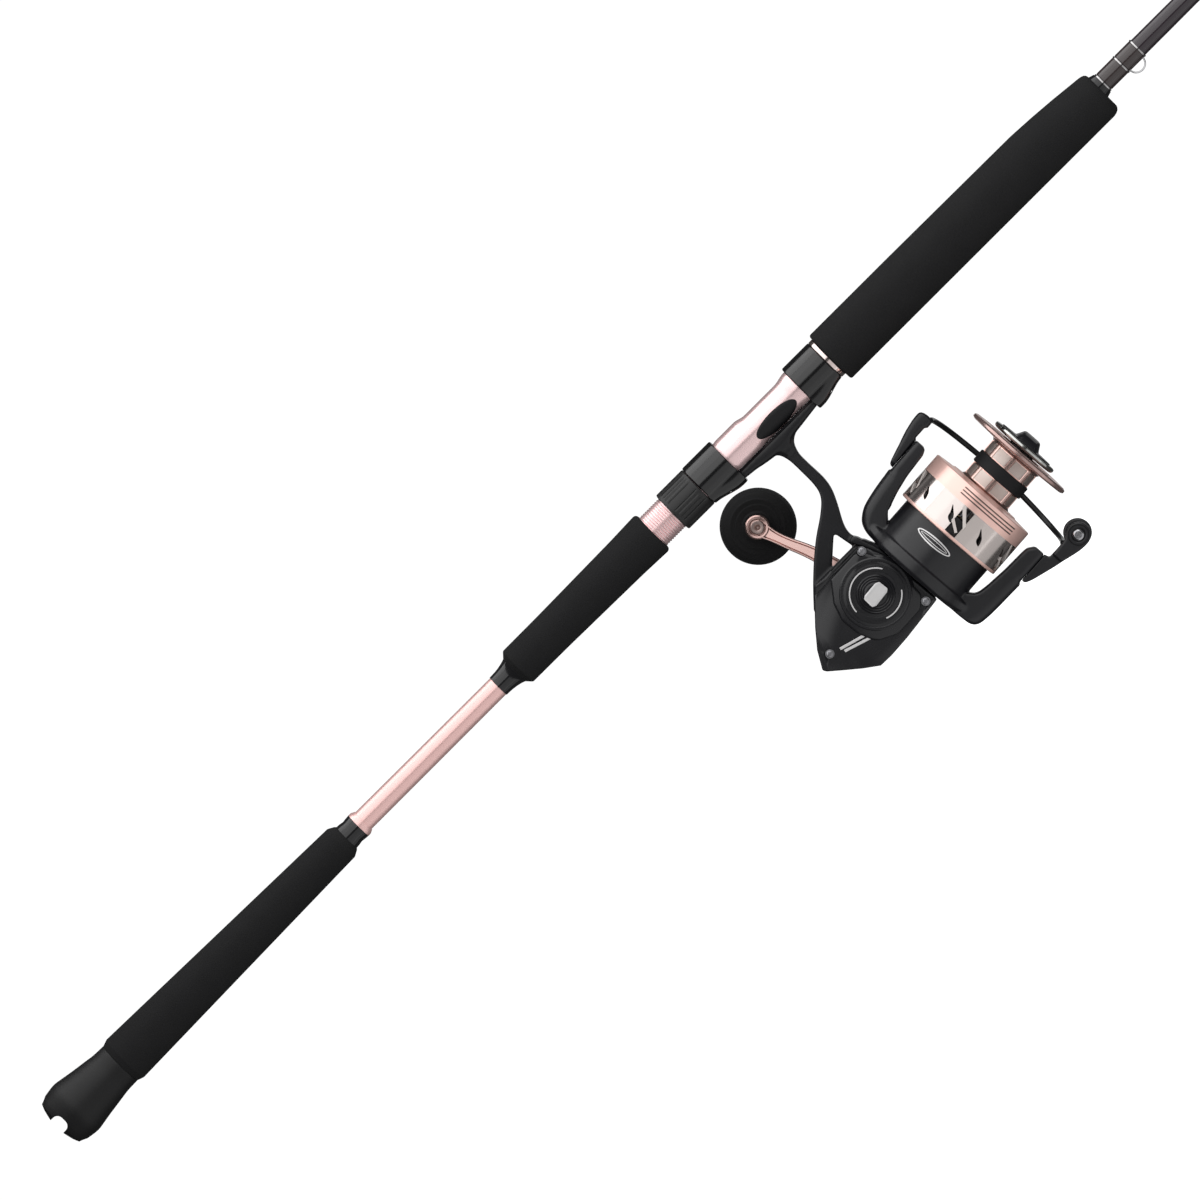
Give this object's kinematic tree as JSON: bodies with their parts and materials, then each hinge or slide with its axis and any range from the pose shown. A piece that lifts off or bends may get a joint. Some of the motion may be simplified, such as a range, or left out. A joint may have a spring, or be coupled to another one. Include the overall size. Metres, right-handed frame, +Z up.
{
  "type": "fishing rod and reel",
  "caption": "Boat fishing rod with foam grips, a notched butt cap and line guides, with a spinning reel clamped under its screw-down seat.",
  "frame": {"origin": "centre of the rod holder's pin where it seats in the gimbal cap, on the rod's axis", "axes": "+X along the rod to the tip, +Z up away from the reel, the crank handle on +Y"},
  "size_m": [1.9796, 0.1343, 0.1907],
  "materials": {
    "rubber_cap": "satin moulded rubber",
    "rose_paint": "glossy rose gold lacquer",
    "eva_foam": "matt closed-cell foam",
    "check_black": "gloss black",
    "fibre": "plain fibre",
    "rose_metal": "anodised rose gold, polished",
    "soft_inlay": "soft matt",
    "hood_black": "satin black",
    "bright_rose": "polished rose",
    "blank_gloss": "deep gloss clear coat over dark graphite",
    "bright_trim": "polished",
    "thread_wrap": "epoxied thread",
    "bright_wire": "polished wire",
    "guide_black": "black plated",
    "ceramic": "polished dark ceramic",
    "reel_black": "satin charcoal",
    "cover_black": "satin charcoal",
    "rotor_black": "satin charcoal",
    "steel": "bright",
    "bearing_steel": "ground",
    "gear_alloy": "machined",
    "brass": "machined",
    "bronze": "sintered",
    "zinc": "die cast",
    "wire_black": "gloss black",
    "roller_chrome": "polished",
    "band_rubber": "matt",
    "felt": "pressed felt",
    "knob_black": "satin black",
    "eva_knob": "matt closed-cell foam"
  },
  "bodies": {
    "rod": {"gimbal_cap": "rubber_cap", "butt_shaft": "rose_paint", "rear_grip": "eva_foam", "rear_check": "check_black", "mid_check": "check_black", "mid_grip": "eva_foam", "seat_arbor": "fibre", "seat_barrel": "rose_metal", "seat_pads": "soft_inlay", "front_hood": "hood_black", "seat_ring": "bright_rose", "fore_grip": "eva_foam", "fore_check": "check_black", "blank": "blank_gloss", "trim_rings": "bright_trim", "keeper_wraps": "thread_wrap", "hook_keeper": "bright_wire", "guide_1": "guide_black", "guide_2": "guide_black", "guide_3": "guide_black", "guide_4": "guide_black", "guide_5": "guide_black", "guide_6": "guide_black", "tip_guide": "guide_black", "guide_rings": "ceramic", "guide_wraps": "thread_wrap", "reel_body": "reel_black", "side_cover": "cover_black", "cover_screws": "steel", "gear_bearings": "bearing_steel", "pinion_bearing": "bearing_steel", "pinion_bush": "bronze", "one_way_clutch": "bearing_steel", "clutch_plate": "steel"},
    "hood": {"sliding_hood": "hood_black"},
    "nut": {"lock_nut": "hood_black"},
    "crank": {"drive_gear": "gear_alloy", "handle_hub": "knob_black", "handle_arm": "rose_metal", "knob_axle": "steel"},
    "knob": {"handle_knob": "eva_knob"},
    "rotor": {"pinion": "brass", "rotor": "rotor_black", "rotor_nut": "steel", "bail_spring": "steel", "bail_pivots": "steel"},
    "bail": {"bail_lever": "rotor_black", "roller_arm": "rotor_black", "bail_wire": "wire_black", "roller_screw": "steel"},
    "roller": {"line_roller": "roller_chrome"},
    "osc_gear": {"oscillation_gear": "zinc"},
    "shaft": {"main_shaft": "steel", "oscillation_slider": "zinc", "keyed_washers": "steel"},
    "spool": {"spool": "rose_metal", "spool_band": "band_rubber", "drag_washers": "felt"},
    "drag": {"drag_knob": "knob_black"}
  },
  "joints": [
    {"name": "hood_slide", "type": "slide", "parent": "rod", "child": "hood", "axis": [1, 0, 0], "range_m": [-0.01401, 0]},
    {"name": "nut_turn", "type": "hinge", "parent": "hood", "child": "nut", "pos_m": [0.488, 0, 0], "axis": [1, 0, 0], "range_deg": [-3360, 0]},
    {"name": "crank", "type": "hinge", "parent": "rod", "child": "crank", "pos_m": [0.52404, 0, -0.11052], "axis": [0, 1, 0], "continuous": true},
    {"name": "knob_spin", "type": "hinge", "parent": "crank", "child": "knob", "pos_m": [0.50254, 0, -0.03909], "axis": [0, 1, 0], "continuous": true},
    {"name": "rotor_spin", "type": "hinge", "parent": "rod", "child": "rotor", "pos_m": [0.576, 0, -0.1155], "axis": [0.9977, 0, 0.068], "continuous": true},
    {"name": "osc_spin", "type": "hinge", "parent": "rod", "child": "osc_gear", "pos_m": [0.51306, 0, -0.12591], "axis": [0, 1, 0], "continuous": true},
    {"name": "bail_open", "type": "hinge", "parent": "rotor", "child": "bail", "pos_m": [0.59595, 0, -0.11414], "axis": [0.068, 0, -0.9977], "range_deg": [0, 105]},
    {"name": "roller_spin", "type": "hinge", "parent": "bail", "child": "roller", "pos_m": [0.62696, 0, -0.16615], "axis": [0, 1, 0], "continuous": true},
    {"name": "spool_travel", "type": "slide", "parent": "rod", "child": "shaft", "axis": [0.9977, 0, 0.068], "range_m": [-0.01, 0.01]},
    {"name": "spool_spin", "type": "hinge", "parent": "shaft", "child": "spool", "pos_m": [0.61591, 0, -0.11278], "axis": [0.9977, 0, 0.068], "continuous": true},
    {"name": "drag_turn", "type": "hinge", "parent": "shaft", "child": "drag", "pos_m": [0.64085, 0, -0.11108], "axis": [0.9977, 0, 0.068], "range_deg": [-180, 540]}
  ],
  "couplings": [
    {"joint": "hood_slide", "follows": "nut_turn", "m_per_rad": 0.00023873},
    {"joint": "rotor_spin", "follows": "crank", "ratio": 5.25},
    {"joint": "osc_spin", "follows": "crank", "ratio": -0.75}
  ]
}
